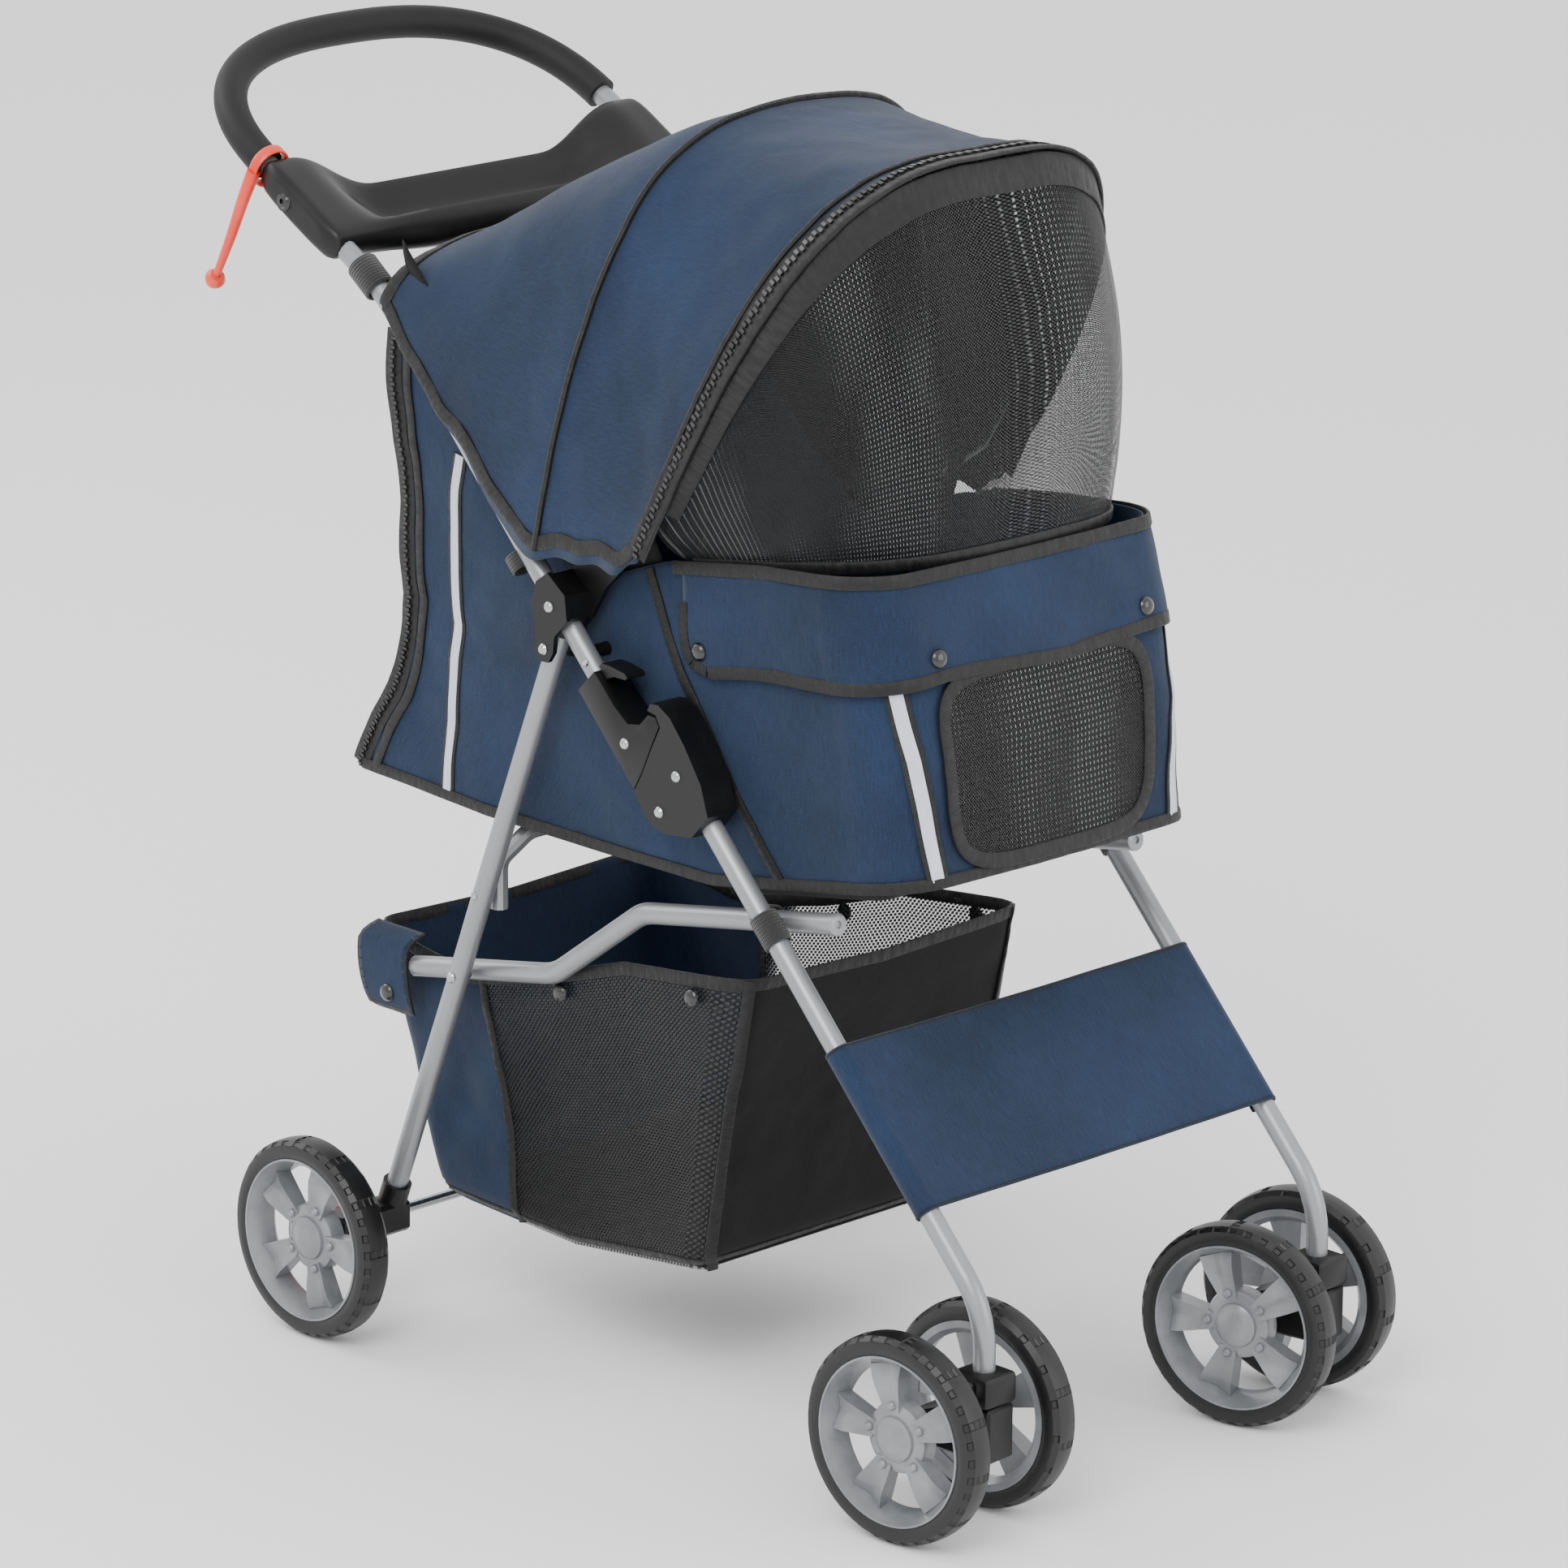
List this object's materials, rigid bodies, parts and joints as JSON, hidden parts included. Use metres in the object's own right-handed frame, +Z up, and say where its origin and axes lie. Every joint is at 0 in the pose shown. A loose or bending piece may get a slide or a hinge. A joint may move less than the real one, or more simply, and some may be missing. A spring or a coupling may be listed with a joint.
{
  "type": "pet stroller",
  "caption": "Folding pet stroller: tube frame, fabric cabin with arched canopy and mesh window, storage basket, bowed foam handle, cup tray, swivel twin front casters and braked rear wheels.",
  "frame": {"origin": "middle of the whole stroller's footprint box, at floor level under the wheels", "axes": "+Z up; -Y forwards, towards the twin front casters; +X towards the left-hand side as seen by the person pushing from behind facing forwards"},
  "size_m": [0.514, 0.9088, 0.9212],
  "materials": {
    "frame_tube": "satin silver powder coat",
    "steel": "zinc-plated",
    "black_plastic": "fine moulded texture",
    "foam": "matte foam skin",
    "tyre": "satin",
    "rim": "satin silver moulded",
    "blue_fabric": "plain-weave polyester",
    "mesh_fabric": "black knitted mesh and lining",
    "red_plastic": "glossy moulded"
  },
  "bodies": {
    "front_frame": {"front_tube_right": "frame_tube", "front_tube_left": "frame_tube", "lock_lower_right": "black_plastic", "lock_lower_left": "black_plastic", "caster_cap_right": "black_plastic", "caster_cap_left": "black_plastic", "rivet_fold_right": "steel", "rivet_fold_left": "steel", "front_sheet": "blue_fabric"},
    "handle_frame": {"handle_tube": "frame_tube", "handle_foam": "foam", "tray": "black_plastic", "hang_tie": "red_plastic", "canopy": "blue_fabric", "bracket_right": "black_plastic", "bracket_left": "black_plastic", "lock_upper_right": "black_plastic", "lock_upper_left": "black_plastic", "spacer_peg_right": "black_plastic", "spacer_peg_left": "black_plastic", "rivet_leg_right": "steel", "rivet_leg_left": "steel"},
    "rear_frame": {"rear_leg_right": "frame_tube", "rear_leg_left": "frame_tube", "axle_bracket_right": "black_plastic", "axle_bracket_left": "black_plastic", "rivet_rail_right": "steel", "rivet_rail_left": "steel", "rear_axle": "steel", "cross_bar": "frame_tube"},
    "rail_frame": {"rail_right": "frame_tube", "rail_left": "frame_tube", "rivet_front_right": "steel", "rivet_front_left": "steel", "cabin": "blue_fabric", "basket": "mesh_fabric"},
    "mid_hoop": {"mid_hoop": "steel"},
    "front_hoop": {"front_hoop": "steel"},
    "front_window": {"front_window": "mesh_fabric"},
    "caster_right": {"caster_fork_right": "black_plastic"},
    "wheel_front_right_outer": {"tyre_front_right_outer": "tyre", "rim_front_right_outer": "rim"},
    "wheel_front_right_inner": {"tyre_front_right_inner": "tyre", "rim_front_right_inner": "rim"},
    "wheel_rear_right": {"tyre_rear_right": "tyre", "rim_rear_right": "rim"},
    "trigger_right": {"lock_trigger_right": "black_plastic"},
    "pedal_right": {"brake_pedal_right": "red_plastic"},
    "caster_left": {"caster_fork_left": "black_plastic"},
    "wheel_front_left_outer": {"tyre_front_left_outer": "tyre", "rim_front_left_outer": "rim"},
    "wheel_front_left_inner": {"tyre_front_left_inner": "tyre", "rim_front_left_inner": "rim"},
    "wheel_rear_left": {"tyre_rear_left": "tyre", "rim_rear_left": "rim"},
    "trigger_left": {"lock_trigger_left": "black_plastic"},
    "pedal_left": {"brake_pedal_left": "red_plastic"}
  },
  "joints": [
    {"name": "fold", "type": "hinge", "parent": "front_frame", "child": "handle_frame", "pos_m": [0, -0.0956, 0.4526], "axis": [-1, 0, 0], "range_deg": [0, 135], "deforming": ["cabin", "basket", "front_window", "canopy"]},
    {"name": "rear_fold", "type": "hinge", "parent": "handle_frame", "child": "rear_frame", "pos_m": [0, 0.0234, 0.5466], "axis": [1, 0, 0], "range_deg": [0, 80.6]},
    {"name": "rail_fold", "type": "hinge", "parent": "front_frame", "child": "rail_frame", "pos_m": [0, -0.1906, 0.3886], "axis": [-1, 0, 0], "range_deg": [0, 84.7]},
    {"name": "canopy_fold", "type": "hinge", "parent": "handle_frame", "child": "front_hoop", "pos_m": [0, -0.0226, 0.611], "axis": [-1, 0, 0], "range_deg": [0, 55], "deforming": ["canopy"]},
    {"name": "mid_hoop_fold", "type": "hinge", "parent": "handle_frame", "child": "mid_hoop", "pos_m": [0, 0.0074, 0.603], "axis": [-1, 0, 0], "range_deg": [0, 28]},
    {"name": "window_open", "type": "hinge", "parent": "rail_frame", "child": "front_window", "pos_m": [0, -0.2686, 0.647], "axis": [1, 0, 0], "range_deg": [0, 100], "deforming": ["front_window"]},
    {"name": "caster_swivel_right", "type": "hinge", "parent": "front_frame", "child": "caster_right", "pos_m": [-0.17, -0.4046, 0.09], "axis": [0, 0, 1], "continuous": true},
    {"name": "wheel_front_right_outer_spin", "type": "hinge", "parent": "caster_right", "child": "wheel_front_right_outer", "pos_m": [-0.219, -0.3718, 0.075], "axis": [0.9961, 0.0881, 0], "continuous": true},
    {"name": "wheel_front_right_inner_spin", "type": "hinge", "parent": "caster_right", "child": "wheel_front_right_inner", "pos_m": [-0.1274, -0.3637, 0.075], "axis": [0.9961, 0.0881, 0], "continuous": true},
    {"name": "wheel_rear_right_spin", "type": "hinge", "parent": "rear_frame", "child": "wheel_rear_right", "pos_m": [-0.244, 0.2084, 0.075], "axis": [1, 0, 0], "continuous": true},
    {"name": "trigger_right_press", "type": "hinge", "parent": "handle_frame", "child": "trigger_right", "pos_m": [-0.17, -0.033, 0.5421], "axis": [1, 0, 0], "range_deg": [0, 8], "stiffness_Nm_per_rad": 1, "springref_deg": -5.73},
    {"name": "brake_right_press", "type": "hinge", "parent": "rear_frame", "child": "pedal_right", "pos_m": [-0.21, 0.2244, 0.081], "axis": [-1, 0, 0], "range_deg": [0, 14]},
    {"name": "caster_swivel_left", "type": "hinge", "parent": "front_frame", "child": "caster_left", "pos_m": [0.17, -0.4046, 0.09], "axis": [0, 0, 1], "continuous": true},
    {"name": "wheel_front_left_outer_spin", "type": "hinge", "parent": "caster_left", "child": "wheel_front_left_outer", "pos_m": [0.2057, -0.3576, 0.075], "axis": [0.9705, 0.2413, 0], "continuous": true},
    {"name": "wheel_front_left_inner_spin", "type": "hinge", "parent": "caster_left", "child": "wheel_front_left_inner", "pos_m": [0.1164, -0.3798, 0.075], "axis": [0.9705, 0.2413, 0], "continuous": true},
    {"name": "wheel_rear_left_spin", "type": "hinge", "parent": "rear_frame", "child": "wheel_rear_left", "pos_m": [0.244, 0.2084, 0.075], "axis": [1, 0, 0], "continuous": true},
    {"name": "trigger_left_press", "type": "hinge", "parent": "handle_frame", "child": "trigger_left", "pos_m": [0.17, -0.033, 0.5421], "axis": [1, 0, 0], "range_deg": [0, 8], "stiffness_Nm_per_rad": 1, "springref_deg": -5.73},
    {"name": "brake_left_press", "type": "hinge", "parent": "rear_frame", "child": "pedal_left", "pos_m": [0.21, 0.2244, 0.081], "axis": [-1, 0, 0], "range_deg": [0, 14]}
  ],
  "couplings": [
    {"joint": "rear_fold", "follows": "fold", "ratio": 0.5965},
    {"joint": "rail_fold", "follows": "fold", "ratio": 0.6268},
    {"joint": "mid_hoop_fold", "follows": "canopy_fold", "ratio": 0.5}
  ]
}
